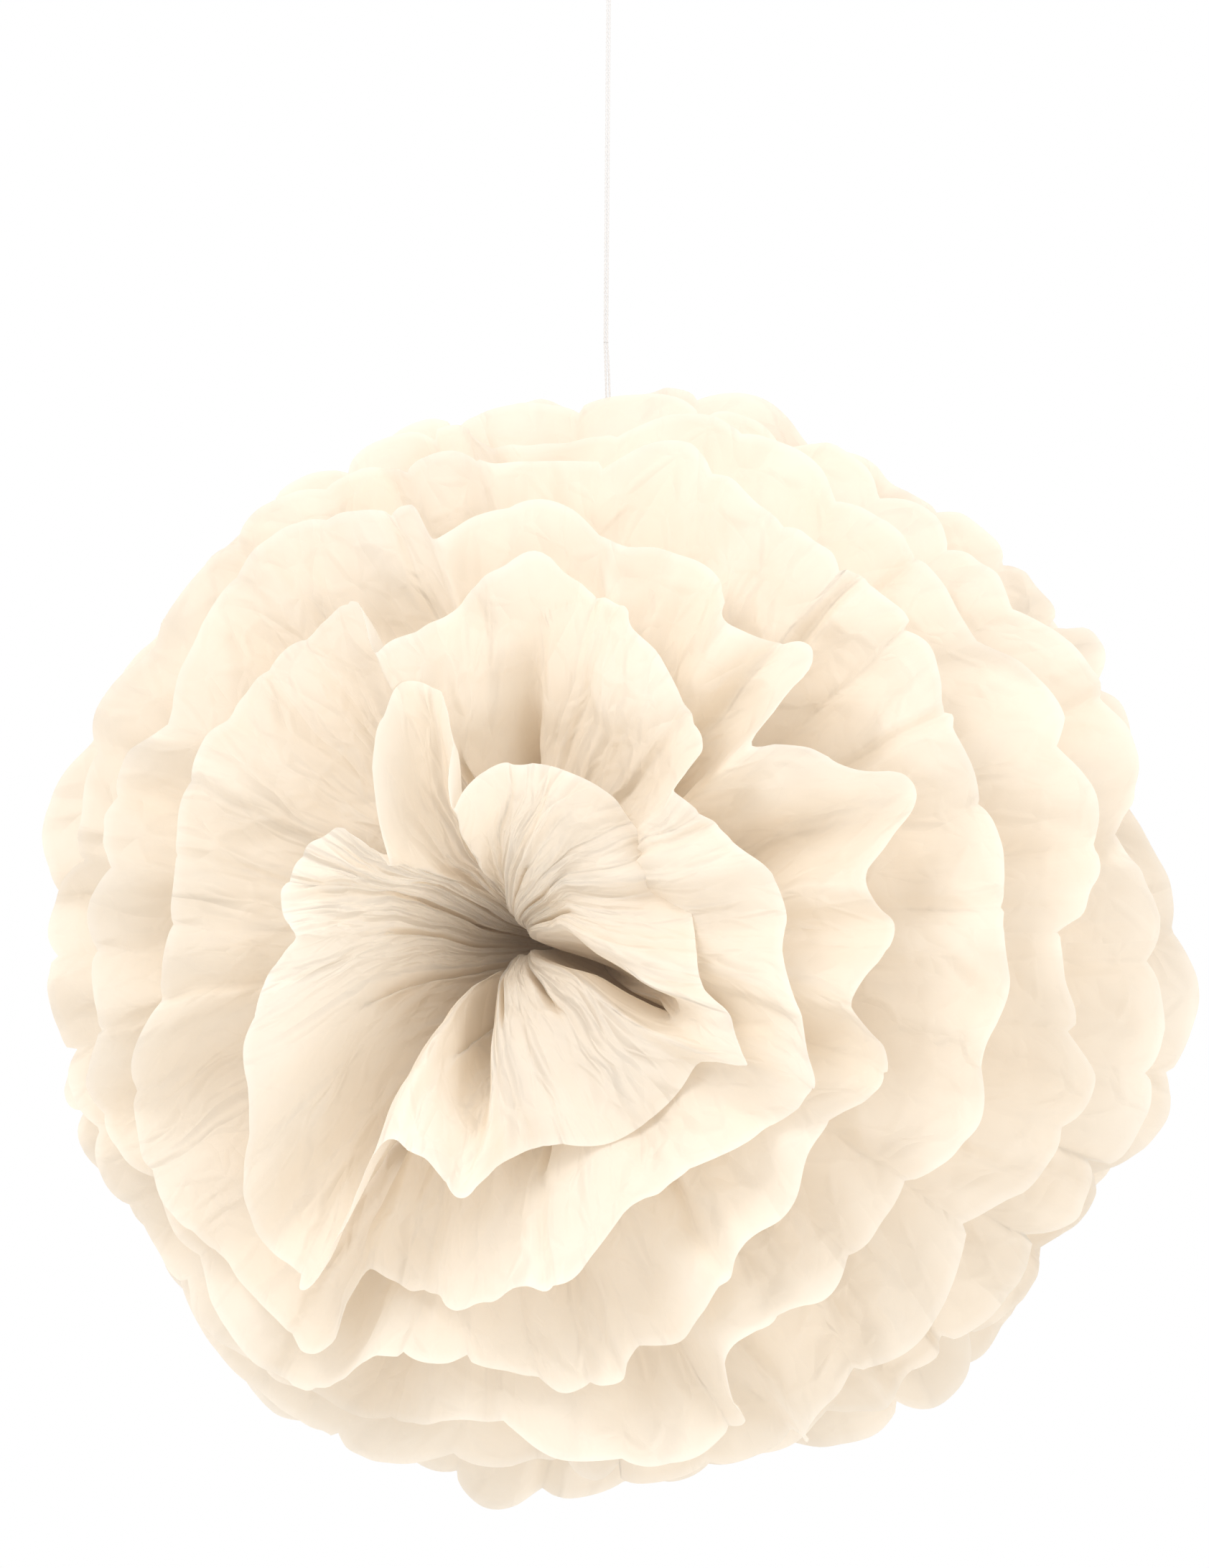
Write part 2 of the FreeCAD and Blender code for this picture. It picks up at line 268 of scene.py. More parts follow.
def openings(number, side, turns, seed, inner):
    """Opening and leave at every turn, in degrees, each outside those of the sheet inside."""
    handles = FRONT_OPENINGS[number] if side == "front" else back_openings(number)
    bounds = around(handles, turns)
    bounds[:, 0] = rounded_tips(bounds[:, 0])
    bounds[:, 0] += RIM_STRAY[number - 1] * around_noise(turns, RIM_NOISE, seed)
    bounds[:, 1] += LEAVE_STRAY[number - 1] * around_noise(turns, LEAVE_NOISE, seed)
    if inner is not None:
        nearest = inner + np.array(LEAST_GAP)
        spare = bounds - nearest
        bounds = nearest + (spare + np.sqrt(spare ** 2 + GAP_SOFTNESS)) / 2
    bounds[:, 1] = np.minimum(bounds[:, 1], bounds[:, 0] - LEAST_BEND)
    return bounds


# A path's straight run, as a share of its length. It is shorter where the leave comes near the
# opening, and where the opening is wide, because the bend that follows needs room.
STRAIGHT_SHARE = 0.6
STRAIGHT_LIMIT = 0.86
STRAIGHT_LOSS = 0.78  # of the limit, for each radian of opening
BEND_ROUNDS = 12
CURL_FROM = 0.87  # the share of the way along at which a rim starts to curl


def paths(leave, opening, length, along, curl):
    """Paths in the plane of each turn, as heights along the pole and distances from it.

    Each leaves the hub at its own angle and runs straight, then bends away from the pole by as
    much as brings its end to the opening asked for. The last of it curls further.
    """
    limit = STRAIGHT_LIMIT - STRAIGHT_LOSS * opening
    straight = np.clip(np.minimum(STRAIGHT_SHARE * (1 - leave / opening), limit), 0, 1)
    bent = smooth((along[None, :] - straight[:, None]) / (1 - straight[:, None]))
    reach = np.diff(along, prepend=0)[None, :] * length[:, None]
    bend = np.zeros(len(leave))
    for _ in range(BEND_ROUNDS):
        angle = leave[:, None] + bend[:, None] * bent
        out = np.cumsum(np.sin(angle) * reach, axis=1)
        up = np.cumsum(np.cos(angle) * reach, axis=1)
        bend += (opening - np.arctan2(out[:, -1], up[:, -1])) / bent.mean(axis=1)
    angle += curl[:, None] * smooth((along - CURL_FROM) / (1 - CURL_FROM))[None, :]
    out = np.cumsum(np.sin(angle) * reach, axis=1)
    up = np.cumsum(np.cos(angle) * reach, axis=1)
    return up, out, angle


FOLDS = PLEATS // 2
SHUT_SHARE = 0.2  # of the way between two folds, the part that a nearly shut fold takes up
FOLD_STRAY = 4.5  # how far the folds stray round the pole, in degrees


def fold_wave(turns):
    """1 along each outer fold line and 0 between, because the two panels at a fold nearly touch."""
    off = np.abs((turns * FOLDS / 360) % 1 - 0.5) * 2
    return smooth((off - (1 - SHUT_SHARE)) / SHUT_SHARE)


HANGING_SQUASH = 0.98  # the ball is a little less high than wide
LOBE_DEPTHS = (0.008, 0.010, 0.015, 0.020, 0.027, 0.036)  # of the ball's radius, by sheet
RIM_FOLDS = (2 * MM, 3 * MM, 4 * MM, 6 * MM, 8 * MM, 9 * MM)  # the deepest fold left at the rim
# Where a rim is rolled outward: the sheet's (turn, half width, how far), in degrees.
RIM_CURLS = {
    "front": {1: ((150, 38, 75), (30, 50, 25)), 2: ((125, 25, 35), (14, 30, 35))},
    "back": {},
}
HUB_SHARE = 0.02  # of the way along, where a path starts
ALONG_POWER = 0.85  # below 1, so that the samples lie closer towards the rim
CURL_STRAY = 9  # how far any rim curls one way or the other, in degrees
LOBE_POWER = 2.4  # low for pointed lobes, high for flat ones
LENGTH_STRAY = 0.012  # of a path's length
RIM_WAVE = 2.4 * MM
RIM_WAVE_FROM = 0.6
FOLDS_OPEN_FROM = 0.5  # the share of the way along at which the folds start to open
FOLDS_OPEN_OVER = 0.3
# A sheet's folds open sooner where its rim stands well outside the rim before it: not at all up
# to the first of these gaps, in degrees, and by EARLIER_SHARE of the way from the second.
WIDE_GAPS = (7, 21)
EARLIER_SHARE = 0.3
HUB_FOLD = 0.5  # of a fold's depth, where the wire holds it at the hub
HUB_FOLD_OVER = 0.15
SHALLOW_POWER = 1.5  # above 1, so that more of the folds at the rim are shallow than deep


def rim_curl(side, number, turns, seed):
    """How much further the last of the paper bends outward, in radians."""
    curl = CURL_STRAY * around_noise(turns, CURL_NOISE, seed)
    for middle, half_width, most in RIM_CURLS[side].get(number, ()):
        off = (turns - middle + 180) % 360 - 180
        curl += most * smooth(1 - np.abs(off) / half_width)
    return np.radians(curl)


def sheet_points(side, number, poles, turns, bounds, inner, seed):
    """The grid of a sheet, (turns, along, 3), and the shares along its paths.

    Paths from the hub to the rim make an open bowl, the rim has a lobe for each pleat, and the
    paper that is too wide for the bowl goes into folds, deep at the hub and shallow at the rim.
    """
    pole, across, upward = poles
    draw = np.random.default_rng(seed)
    along = np.linspace(HUB_SHARE, 1, SAMPLES_ALONG) ** ALONG_POWER
    opening, leave = np.radians(bounds).T

    panel = (turns + FOLD_STRAY * around_noise(turns, LOBE_NOISE, seed)) * PLEATS / 360
    from_tip = np.abs(panel % 1 - 0.5) * 2
    lobe_depth = draw.uniform(0.5, 1.5, PLEATS) * LOBE_DEPTHS[number - 1]
    lobe_depth = lobe_depth[np.floor(panel).astype(int) % PLEATS]
    length = BALL_RADIUS * (1.0 - lobe_depth * from_tip ** LOBE_POWER)
    length *= 1 + LENGTH_STRAY * around_noise(turns, LENGTH_NOISE, seed)
    up, out, angle = paths(leave, opening, length, along, rim_curl(side, number, turns, seed))

    turned = np.radians(turns)
    outward = np.cos(turned)[:, None] * across + np.sin(turned)[:, None] * upward
    hub = HUB_PITCH * (SHEETS_EACH_SIDE - number + 0.5)
    points = BALL_CENTRE + (hub + up)[..., None] * pole + out[..., None] * outward[:, None, :]
    away = np.cos(angle)[..., None] * outward[:, None, :] - np.sin(angle)[..., None] * pole

    folded = turns + FOLD_STRAY * around_noise(turns, FOLD_NOISE, FOLD_SEED[side])
    rim_folds = draw.uniform(0, 1, FOLDS) ** SHALLOW_POWER * RIM_FOLDS[number - 1]
    rim_folds = rim_folds[np.floor(folded * FOLDS / 360 + 0.5).astype(int) % FOLDS]
    depth = np.maximum(PLEAT_WIDTH - out * 2 * math.pi / PLEATS, 0)
    depth *= (HUB_FOLD + (1 - HUB_FOLD) * smooth(along / HUB_FOLD_OVER))[None, :]
    opens_from = np.full(len(turns), FOLDS_OPEN_FROM)
    if inner is not None:
        least, most = WIDE_GAPS
        apart = bounds[:, 0] - inner[:, 0]
        opens_from -= EARLIER_SHARE * np.clip((apart - least) / (most - least), 0, 1)
    opened = smooth((along[None, :] - opens_from[:, None]) / FOLDS_OPEN_OVER)
    depth = depth * (1 - opened) + rim_folds[:, None] * opened
    points += (depth * fold_wave(folded)[:, None])[..., None] * away

    waved = smooth((along - RIM_WAVE_FROM) / (1 - RIM_WAVE_FROM))
    rim_wave = RIM_WAVE * around_noise(turns, WAVE_NOISE, seed)
    points += (rim_wave[:, None] * waved[None, :])[..., None] * away
    return points, along


# Waves through the whole ball: how far they move the paper, their length, how many plane waves
# they are summed from, their seed, and whether they are folded into ridges.
CRUMPLES = (
    (5.0 * MM, 0.17, 14, 3, False),
    (3.2 * MM, 0.11, 10, 4, True),
    (1.1 * MM, 0.04, 12, 6, True),
    (0.35 * MM, 0.018, 22, 5, False),
)
RIDGE_MIDDLE = 0.8
CRUMPLED_FROM = 0.25  # of the ball's radius
CRUMPLED_OVER = 0.6


def crumple(points):
    """Moves places by waves that all the sheets share, so that neighbours keep their order."""
    share = np.linalg.norm(points - BALL_CENTRE, axis=-1) / BALL_RADIUS
    share = smooth((share - CRUMPLED_FROM) / CRUMPLED_OVER)
    moved = np.zeros(points.shape)
    for reach, wavelength, count, seed, ridged in CRUMPLES:
        wave = ripples(points, wavelength, count, seed)
        moved += reach * (RIDGE_MIDDLE - np.abs(wave) if ridged else wave)
    points = points + moved * share[..., None]
    points[..., 2] = BALL_CENTRE[2] + (points[..., 2] - BALL_CENTRE[2]) * HANGING_SQUASH
    return points


def new_object(name, data):
    thing = bpy.data.objects.new(name, data)
    bpy.context.scene.collection.objects.link(thing)
    return thing


RIM_HIGHLIGHT_SHARE = 0.015  # of the way along, where a painted highlight makes the rim paler, as if it caught the light edge-on


def grid_mesh(name, points, along):
    """A closed band of quads: round by along, with the paper's own flat sizes as its UV map."""
    rounds, steps = points.shape[:2]
    here = np.arange(rounds)[:, None] * steps + np.arange(steps - 1)[None, :]
    there = np.roll(here, -1, axis=0)
    quads = np.stack([here, there, there + 1, here + 1], axis=-1).reshape(-1, 4)
    mesh = bpy.data.meshes.new(name)
    mesh.from_pydata(points.reshape(-1, 3).tolist(), [], quads.tolist())
    mesh.polygons.foreach_set("use_smooth", [True] * len(quads))

    left = np.repeat(np.arange(rounds) * PLEATS * PLEAT_WIDTH / rounds, steps - 1)
    right = left + PLEATS * PLEAT_WIDTH / rounds
    low = np.tile(along[:-1] * BALL_RADIUS, rounds)
    high = np.tile(along[1:] * BALL_RADIUS, rounds)
    corners = np.stack([left, low, right, low, right, high, left, high], axis=-1)
    mesh.uv_layers.new(name="paper").data.foreach_set("uv", corners.reshape(-1))

    # Painted highlight: marks the last of the way along, where the rim is painted paler as if it
    # caught the light.
    edge = np.tile(smooth((along - (1 - RIM_HIGHLIGHT_SHARE)) / RIM_HIGHLIGHT_SHARE), rounds)
    mesh.attributes.new("rim", "FLOAT", "POINT").data.foreach_set("value", edge)
    mesh.update()
    return new_object(name, mesh)


def make_sheets(material):
    turns = np.arange(PLEATS * SAMPLES_PER_PLEAT) * 360 / (PLEATS * SAMPLES_PER_PLEAT)
    for side, poles in (("front", FRONT), ("back", BACK)):
        inner = None
        for number, node in enumerate(sheet_names(side), start=1):
            seed = number + SIDE_SEED[side]
            bounds = openings(number, side, turns, seed, inner)
            points, along = sheet_points(side, number, poles, turns, bounds, inner, seed)
            inner = bounds
            piece = grid_mesh(f"tissue_{node}", crumple(points), along)
            piece.data.materials.append(material)
            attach(piece, "ball")
            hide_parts(node)


# ---------------------------------------------------------------- materials

def material_nodes(name):
    material = bpy.data.materials.new(name)
    material.use_nodes = True
    nodes = material.node_tree.nodes
    nodes.clear()
    return material, nodes, material.node_tree.links


def add(nodes, kind, **settings):
    """A new node; an underscored name is an input socket, by its name with spaces."""
    node = nodes.new(kind)
    for name, value in settings.items():
        if name.startswith("_"):
            node.inputs[name[1:].replace("_", " ")].default_value = value
        else:
            setattr(node, name, value)
    return node


def noise(nodes, links, place, scale, detail):
    texture = add(nodes, "ShaderNodeTexNoise", _Scale=scale, _Detail=detail)
    links.new(place, texture.inputs["Vector"])
    return texture.outputs["Fac"]


def tone_ramp(nodes, links, share, tones, stops=(0.0, 1.0)):
    """The tone between two tones, where a share runs from the one stop to the other."""
    ramp = add(nodes, "ShaderNodeValToRGB")
    for element, tone, stop in zip(ramp.color_ramp.elements, tones, stops):
        element.position = stop
        element.color = (*tone, 1)
    links.new(share, ramp.inputs["Fac"])
    return ramp.outputs["Color"]


def bump(nodes, links, height, strength, distance, under=None):
    """The normal of a surface that a height moves, on top of the normal under it."""
    node = add(nodes, "ShaderNodeBump", _Strength=strength, _Distance=distance)
    links.new(height, node.inputs["Height"])
    if under is not None:
        links.new(under, node.inputs["Normal"])
    return node.outputs["Normal"]


TISSUE_TONES = ((0.935, 0.852, 0.738), (0.945, 0.878, 0.778))
TISSUE_STOPS = (0.3, 0.72)
# Painted highlight: the paler tone painted on the rim, as if it caught the light edge-on.
RIM_HIGHLIGHT_TONE = (0.96, 0.90, 0.81)
# Facets of the crumpled paper: how many to a metre, how much narrower round the pole than along a
# path, and their share of the height.
FACETS = ((9.0, 1.7, 1.0), (24.0, 1.3, 0.4), (80.0, 1.0, 0.1))
FACET_EDGE = 0.22  # of a facet, from its edge to where it is flat
THROUGH_SHARE = 0.36  # of the light that falls on the paper goes on through it
GLOW_COLOUR = (1.0, 0.84, 0.74)
GLOW = 0.02  # stands in for light scattered many times between the sheets


def facet_height(nodes, links, uv):
    """Heights of crumpled facets at several scales, added up."""
    height = None
    for scale, stretch, share in FACETS:
        stretched = add(nodes, "ShaderNodeMapping")
        stretched.inputs["Scale"].default_value = (stretch, 1.0, 1.0)
        links.new(uv, stretched.inputs["Vector"])
        facets = add(nodes, "ShaderNodeTexVoronoi", feature="DISTANCE_TO_EDGE", _Scale=scale)
        links.new(stretched.outputs["Vector"], facets.inputs["Vector"])
        ridge = add(nodes, "ShaderNodeMapRange", interpolation_type="SMOOTHSTEP")
        ridge.inputs["From Max"].default_value = FACET_EDGE
        ridge.inputs["To Max"].default_value = share
        links.new(facets.outputs["Distance"], ridge.inputs["Value"])
        if height is None:
            height = ridge.outputs["Result"]
            continue
        both = add(nodes, "ShaderNodeMath", operation="ADD")
        links.new(height, both.inputs[0])
        links.new(ridge.outputs["Result"], both.inputs[1])
        height = both.outputs["Value"]
    return height


def tissue_material():
    """Thin cream tissue: light comes through it, and it is creased at several scales."""
    material, nodes, links = material_nodes("tissue paper")
    out = add(nodes, "ShaderNodeOutputMaterial")
    uv = add(nodes, "ShaderNodeUVMap", uv_map="paper").outputs["UV"]
    place = add(nodes, "ShaderNodeTexCoord").outputs["Object"]

    cloudy = noise(nodes, links, place, 38.0, 5.0)
    tone = tone_ramp(nodes, links, cloudy, TISSUE_TONES, TISSUE_STOPS)
    # Painted highlight: the tone is made paler towards the rim, as if the rim caught the light.
    rim = add(nodes, "ShaderNodeAttribute", attribute_name="rim")
    rim_highlighted = add(nodes, "ShaderNodeMix", data_type="RGBA")
    rim_highlighted.inputs["B"].default_value = (*RIM_HIGHLIGHT_TONE, 1)
    links.new(rim.outputs["Fac"], rim_highlighted.inputs["Factor"])
    links.new(tone, rim_highlighted.inputs["A"])

    creases = bump(nodes, links, facet_height(nodes, links, uv), 0.6, 0.004)
    fibres = noise(nodes, links, uv, 1400.0, 3.0)
    normal = bump(nodes, links, fibres, 0.18, 0.0002, creases)

    front = add(nodes, "ShaderNodeBsdfPrincipled", _Roughness=0.72)
    front.inputs["Specular IOR Level"].default_value = 0.25
    front.inputs["Sheen Weight"].default_value = 0.12
    front.inputs["Emission Color"].default_value = (*GLOW_COLOUR, 1)
    front.inputs["Emission Strength"].default_value = GLOW
    through = add(nodes, "ShaderNodeBsdfTranslucent")
    paper = add(nodes, "ShaderNodeMixShader", _Fac=THROUGH_SHARE)
    links.new(rim_highlighted.outputs["Result"], front.inputs["Base Color"])
    links.new(rim_highlighted.outputs["Result"], through.inputs["Color"])
    links.new(normal, front.inputs["Normal"])
    links.new(normal, through.inputs["Normal"])
    links.new(front.outputs["BSDF"], paper.inputs[1])
    links.new(through.outputs["BSDF"], paper.inputs[2])
    links.new(paper.outputs["Shader"], out.inputs["Surface"])
    return material


def thread_material():
    """White spun thread, a little glossy, with fine fibres along its twist."""
    material, nodes, links = material_nodes("white thread")
    out = add(nodes, "ShaderNodeOutputMaterial")
    place = add(nodes, "ShaderNodeTexCoord").outputs["Object"]
    fibres = noise(nodes, links, place, 2600.0, 3.0)
    tone = tone_ramp(nodes, links, fibres, ((0.55, 0.53, 0.52), (0.86, 0.84, 0.83)))
    normal = bump(nodes, links, fibres, 0.4, 0.00008)
    shader = add(nodes, "ShaderNodeBsdfPrincipled", _Roughness=0.5)
    shader.inputs["Sheen Weight"].default_value = 0.3
    links.new(tone, shader.inputs["Base Color"])
    links.new(normal, shader.inputs["Normal"])
    links.new(shader.outputs["BSDF"], out.inputs["Surface"])
    return material


def wire_material():
    """Drawn steel wire with fine scratches."""
    material, nodes, links = material_nodes("drawn steel wire")
    out = add(nodes, "ShaderNodeOutputMaterial")
    place = add(nodes, "ShaderNodeTexCoord").outputs["Object"]
    scratches = noise(nodes, links, place, 900.0, 4.0)
    rough = add(nodes, "ShaderNodeMapRange")
    rough.inputs["To Min"].default_value = 0.22
    rough.inputs["To Max"].default_value = 0.5
    links.new(scratches, rough.inputs["Value"])
    tone = tone_ramp(nodes, links, scratches, ((0.42, 0.41, 0.39), (0.70, 0.69, 0.67)))
    shader = add(nodes, "ShaderNodeBsdfPrincipled", _Metallic=1.0)
    links.new(tone, shader.inputs["Base Color"])
    links.new(rough.outputs["Result"], shader.inputs["Roughness"])
    links.new(shader.outputs["BSDF"], out.inputs["Surface"])
    return material


# ---------------------------------------------------------------- thread

# Points of the strands, millimetres from the ball's centre, as in the CAD source.
HITCH_TOP = 7.0
STRAND_AT = 0.45
ENTRY = {"left": 0.25, "right": 2.1}
ENTRY_HEIGHT = 177.0
JOIN_X = -1.0
JOIN_HEIGHT = 212.0
JOIN_GAP = 0.06  # between the lower and the upper strands, so that they turn freely
PAIR_TOP = 341.9
KNOT_GRIP = 0.8  # how far the strands and the loop reach into the knot
SIDE = {"left": -1, "right": 1}
LINE_FINENESS = 40  # steps between two points of a route


def spline_line(points):
    """Points along the NURBS curve of order 3 that a route's points, in metres, steer."""
    curve = bpy.data.curves.new("route", "CURVE")
    curve.dimensions = "3D"
    curve.resolution_u = LINE_FINENESS
    spline = curve.splines.new("NURBS")
    spline.points.add(len(points) - 1)
    for point, place in zip(spline.points, points):
        point.co = (*place, 1)
    spline.order_u = 3
    spline.use_endpoint_u = True
    route = new_object("route", curve)
    mesh = bpy.data.meshes.new_from_object(route)
    line = np.array([vertex.co[:] for vertex in mesh.vertices])
    bpy.data.objects.remove(route)
    bpy.data.curves.remove(curve)
    bpy.data.meshes.remove(mesh)
    return line


def respaced(line, step):
    """The line's points at even steps, and how far along each one is."""
    travelled = np.concatenate([[0], np.cumsum(np.linalg.norm(np.diff(line, axis=0), axis=1))])
    at = np.linspace(0, travelled[-1], max(2, int(round(travelled[-1] / step)) + 1))
    return np.stack([np.interp(at, travelled, line[:, axis]) for axis in range(3)], axis=1), at


PLY_SIDES = 14
PLY_PITCH = 3.2 * MM
PLY_STEP = 0.35 * MM
PLY_WAIST = 0.62  # of the strand's radius, between its two plies


def twisted_strand(name, line, material, body):
    """A tube of two plies twisted round each other along a line of points."""
    centres, at = respaced(line, PLY_STEP)
    ways = np.gradient(centres, axis=0)
    ways /= np.linalg.norm(ways, axis=1)[:, None]
    side = np.cross(ways[0], UP)
    if np.linalg.norm(side) < 0.1:
        side = np.array([1.0, 0.0, 0.0])
    rings = []
    turns = np.arange(PLY_SIDES) * 2 * math.pi / PLY_SIDES
    for centre, way, travelled in zip(centres, ways, at):
        side = side - way * side.dot(way)
        side /= np.linalg.norm(side)
        other = np.cross(way, side)
        ply = turns - 2 * math.pi * travelled / PLY_PITCH
        radius = STRAND_DIAMETER / 2 * (PLY_WAIST + (1 - PLY_WAIST) * np.abs(np.cos(ply)))
        ring = np.cos(turns)[:, None] * side + np.sin(turns)[:, None] * other
        rings.append(centre + ring * radius[:, None])
    points = np.array(rings)
    last = (len(points) - 1) * PLY_SIDES
    quads = []
    for row in range(0, last, PLY_SIDES):
        for column in range(PLY_SIDES):
            here, there = row + column, row + (column + 1) % PLY_SIDES
            quads.append((here, there, there + PLY_SIDES, here + PLY_SIDES))
    ends = [tuple(range(PLY_SIDES))[::-1], tuple(range(last, last + PLY_SIDES))]
    mesh = bpy.data.meshes.new(name)
    mesh.from_pydata(points.reshape(-1, 3).tolist(), [], quads + ends)
    mesh.polygons.foreach_set("use_smooth", [True] * len(quads) + [False] * len(ends))
    mesh.materials.append(material)
    piece = new_object(name, mesh)
    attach(piece, body)
    return piece, centres


def strand_points(side, part):
    at = SIDE[side] * STRAND_AT
    if part == "lower":
        route = [(at, 0, HITCH_TOP), (ENTRY[side], 0, ENTRY_HEIGHT), (JOIN_X + at, 0, JOIN_HEIGHT)]
    else:
        route = [(JOIN_X + at, 0, JOIN_HEIGHT + JOIN_GAP), (at, 0, PAIR_TOP + KNOT_GRIP)]
    return [BALL_CENTRE + np.array(point) * MM for point in route]


def make_strands(material):
    for side in ("left", "right"):
        for part, body in (("lower", "ball"), ("upper", "thread")):
            node = f"{part}_strand_{side}"
            line = spline_line(strand_points(side, part))
            piece, centres = twisted_strand(f"twisted_{node}", line, material, body)
            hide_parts(node)


def middle_of(node):
    """The middle of a node's box, and half its height less half a strand."""
    low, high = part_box(node)
    return (np.array(low) + np.array(high)) / 2, (high[2] - low[2]) / 2 - STRAND_DIAMETER / 2


HITCH_TURNS = 2  # one for each strand
HITCH_STEPS = 32
HITCH_WIDTH = 1.1  # strands, along the wire


def make_hitch(material):
    """The doubled thread's turn round the top run of the wire."""
    middle, radius = middle_of("thread_hitch")
    pole, across, _ = FRONT
    route = []
    for step in range(HITCH_STEPS + 1):
        share = step / HITCH_STEPS
        turn = 2 * math.pi * HITCH_TURNS * share + math.pi / 2
        shift = (share - 0.5) * HITCH_WIDTH * STRAND_DIAMETER
        route.append(middle + pole * shift + (across * math.cos(turn) + UP * math.sin(turn)) * radius)
    piece, _ = twisted_strand("hitch_round_wire", spline_line(route), material, "ball")
    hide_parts("thread_hitch")


KNOT_STEPS = 48
KNOT_RING = 0.62  # of the knot's half height, to the middle of the ring that the knot winds round
KNOT_DEPTH = 0.85  # of its width
TAIL_REACH = {"left": 5.2, "right": 6.4}  # how far the cut tails hang down, in millimetres


def make_knot(material):
    """An overhand knot with its two cut tails, under the hanging loop."""
    middle, size = middle_of("thread_knot")
    route = []
    for step in range(KNOT_STEPS):
        turn = 2 * math.pi * step / KNOT_STEPS
        ring = KNOT_RING + (1 - KNOT_RING) * math.cos(3 * turn)
        route.append(middle + size * np.array([
            ring * math.cos(2 * turn), ring * math.sin(2 * turn) * KNOT_DEPTH, math.sin(3 * turn),
        ]))
    route.append(route[0])
    piece, _ = twisted_strand("overhand_knot", spline_line(route), material, "knot")
    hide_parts("thread_knot")
    for side, reach in TAIL_REACH.items():
        tail = [(0.9, -0.3, -0.2), (2.2, -0.9, -0.9), (3.0, -1.4, -reach * 0.6), (3.3, -1.2, -reach)]
        route = [middle + np.array([SIDE[side] * x, y, z]) * MM for x, y, z in tail]
        end, _ = twisted_strand(f"knot_tail_{side}", spline_line(route), material, "knot")
        end.parent = piece


def make_hanging_loop(material):
    """The loop above the knot, up on the left and down on the right."""
    low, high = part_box("hanging_loop")
    centre_x = (low[0] + high[0]) / 2
    wide = (high[0] - low[0]) / 2 - STRAND_DIAMETER / 2
    top = high[2] - STRAND_DIAMETER / 2
    half = [
        (STRAND_AT * MM, low[2] - KNOT_GRIP * MM),
        (wide * 0.45, low[2] + 3.6 * MM),
        (wide * 1.02, top - 7.5 * MM),
        (wide * 1.02, top - 1.2 * MM),
        (wide * 0.5, top + 0.15 * MM),
    ]
    route = [(centre_x - out, 0, height) for out, height in half]
    route += [(centre_x + out, 0, height) for out, height in half[::-1]]
    piece, _ = twisted_strand("twisted_hanging_loop", spline_line(route), material, "hanger")
    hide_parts("hanging_loop")


# ---------------------------------------------------------------- wire tie

WIRE_RADIUS = 0.5 * MM
WIRE_TURN = 12  # of the bundle's pole from the front towards the left, in degrees, as in the CAD
BEND_STEPS = 12
TWIST_PITCH = 5 * MM
TWIST_STEPS = 59
TWIST_ROOM = 1.02  # keeps the two twisted ends just clear of each other


def wire_loop(pole, half, reach):
    """The closed loop round the bundle: two level runs and a half circle at each end."""
    loop = []
    for side in (1, -1):
        for step in range(BEND_STEPS + 1):
            turn = math.pi * (step / BEND_STEPS - 0.5)
            along = side * (half - WIRE_RADIUS + reach * math.cos(turn))
            loop.append(BALL_CENTRE + pole * along + UP * reach * math.sin(turn) * -side)
    return loop


def wire_end(pole, side, start, tip, turned):
    """One of the two ends, twisted round the other from the loop to the tip."""
    across = np.cross(pole, UP)
    twist = []
    for step in range(TWIST_STEPS + 1):
        share = step / TWIST_STEPS
        turn = 2 * math.pi * share * turned
        ring = across * math.cos(turn) + UP * math.sin(turn)
        along = start + share * (tip - start - WIRE_RADIUS)
        twist.append(BALL_CENTRE + pole * along + ring * side * WIRE_RADIUS * TWIST_ROOM)
    return twist


def make_wire_tie(material):
    """The wire drawn round the bundle, with its two ends twisted together in front."""
    pole = pole_frame(WIRE_TURN, 0)[0]
    low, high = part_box("wire_tie")
    reach = (high[2] - low[2]) / 2 - WIRE_RADIUS
    half = abs(high[1] / pole[1]) - reach
    tip = abs(low[1] / pole[1])
    start = half + reach - WIRE_RADIUS
    lines = [(wire_loop(pole, half, reach), True)]
    for side in (1, -1):
        lines.append((wire_end(pole, side, start, tip, (tip - half) / TWIST_PITCH), False))

    curve = bpy.data.curves.new("wire_round_bundle", "CURVE")
    curve.dimensions = "3D"
    curve.bevel_depth = WIRE_RADIUS
    curve.bevel_resolution = 4
    curve.use_fill_caps = True
    for points, cyclic in lines:
        spline = curve.splines.new("POLY")
        spline.points.add(len(points) - 1)
        for point, place in zip(spline.points, points):
            point.co = (*place, 1)
        spline.use_cyclic_u = cyclic
    curve.materials.append(material)
    piece = new_object("wire_round_bundle", curve)
    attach(piece, "ball")
    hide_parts("wire_tie")


# ---------------------------------------------------------------- camera, light and floor

CAMERA_DISTANCE = 1.8
CAMERA_ABOVE_BALL = 0.057
CAMERA_TO_RIGHT = -1.5 * MM
VIEW_HEIGHT = 0.551  # at the ball's middle
SENSOR = 24.0


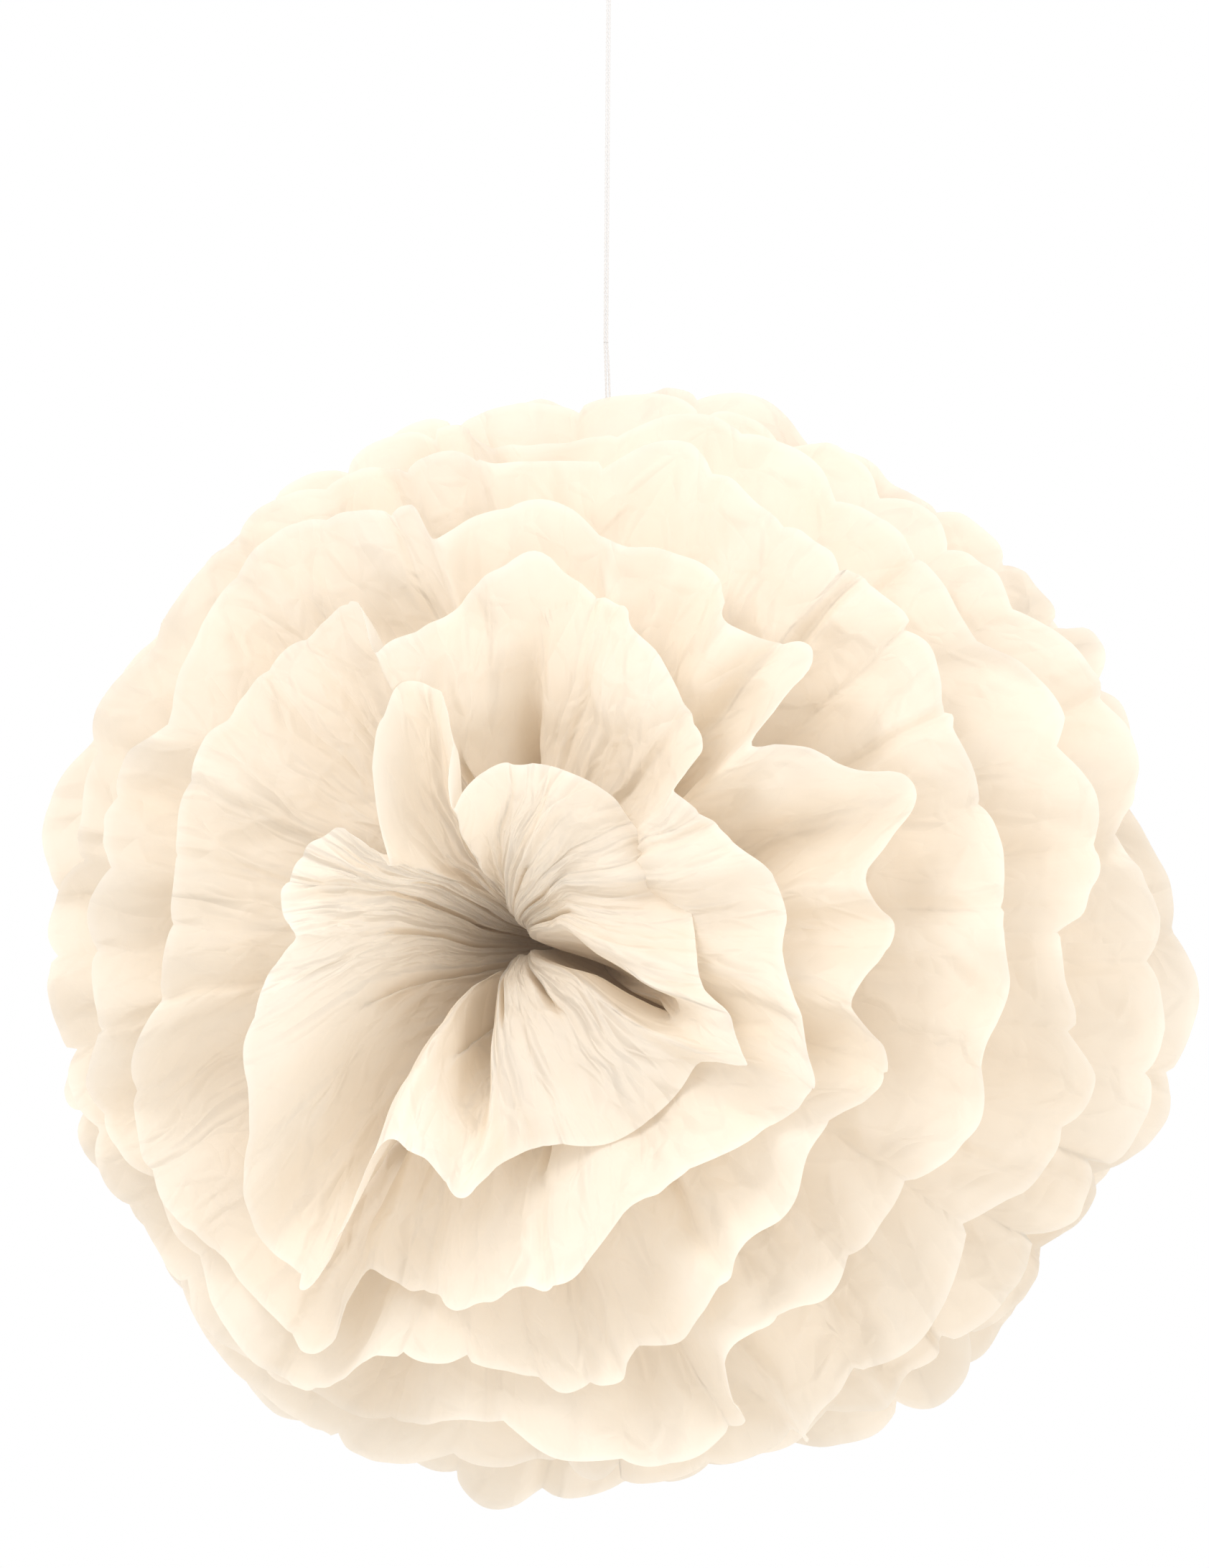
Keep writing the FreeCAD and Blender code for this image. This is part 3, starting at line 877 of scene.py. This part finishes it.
def make_camera():
    camera = bpy.data.cameras.new("camera")
    camera.sensor_fit = "VERTICAL"
    camera.sensor_height = SENSOR
    camera.lens = SENSOR * CAMERA_DISTANCE / VIEW_HEIGHT
    holder = new_object("camera", camera)
    holder.location = (CAMERA_TO_RIGHT, -CAMERA_DISTANCE, BALL_CENTRE[2] + CAMERA_ABOVE_BALL)
    holder.rotation_euler = (math.pi / 2, 0, 0)
    bpy.context.scene.camera = holder


# Name, place, size, watts, colour.
LIGHTS = (
    ("key", (-0.9, -1.6, 0.9), 1.0, 16, (1.0, 0.985, 0.96)),
    ("fill", (1.4, -1.2, -0.2), 1.4, 8, (1.0, 0.99, 0.97)),
)


def make_lights():
    """A white surround, and two large lamps that face the ball."""
    scene = bpy.context.scene
    scene.view_settings.view_transform = "Standard"
    scene.world = bpy.data.worlds.new("pale studio")
    scene.world.use_nodes = True
    surround = scene.world.node_tree.nodes["Background"]
    surround.inputs["Color"].default_value = (1.0, 1.0, 1.0, 1)
    surround.inputs["Strength"].default_value = 1.0
    for name, place, size, power, colour in LIGHTS:
        light = bpy.data.lights.new(name, "AREA")
        light.size = size
        light.energy = power
        light.color = colour
        holder = new_object(name, light)
        holder.location = place
        way = BALL_CENTRE - np.array(place)
        rise = math.atan2(way[2], math.hypot(way[0], way[1]))
        holder.rotation_euler = (math.pi / 2 + rise, 0, math.atan2(-way[0], way[1]))


FLOOR_RADIUS = 2.5
FLOOR_HEIGHT = -1.1
FLOOR_SIDES = 64


def make_floor():
    turns = np.arange(FLOOR_SIDES) * 2 * math.pi / FLOOR_SIDES
    corners = [(FLOOR_RADIUS * math.cos(t), FLOOR_RADIUS * math.sin(t), FLOOR_HEIGHT) for t in turns]
    mesh = bpy.data.meshes.new("floor")
    mesh.from_pydata(corners, [], [tuple(range(FLOOR_SIDES))])
    material, nodes, links = material_nodes("pale floor")
    out = add(nodes, "ShaderNodeOutputMaterial")
    shader = add(nodes, "ShaderNodeBsdfPrincipled", _Roughness=0.8)
    shader.inputs["Base Color"].default_value = (0.9, 0.9, 0.89, 1)
    links.new(shader.outputs["BSDF"], out.inputs["Surface"])
    mesh.materials.append(material)
    new_object("floor", mesh)


# ---------------------------------------------------------------- build

make_camera()
make_lights()
make_floor()
thread = thread_material()
make_strands(thread)
make_hitch(thread)
make_knot(thread)
make_hanging_loop(thread)
make_wire_tie(wire_material())
make_sheets(tissue_material())
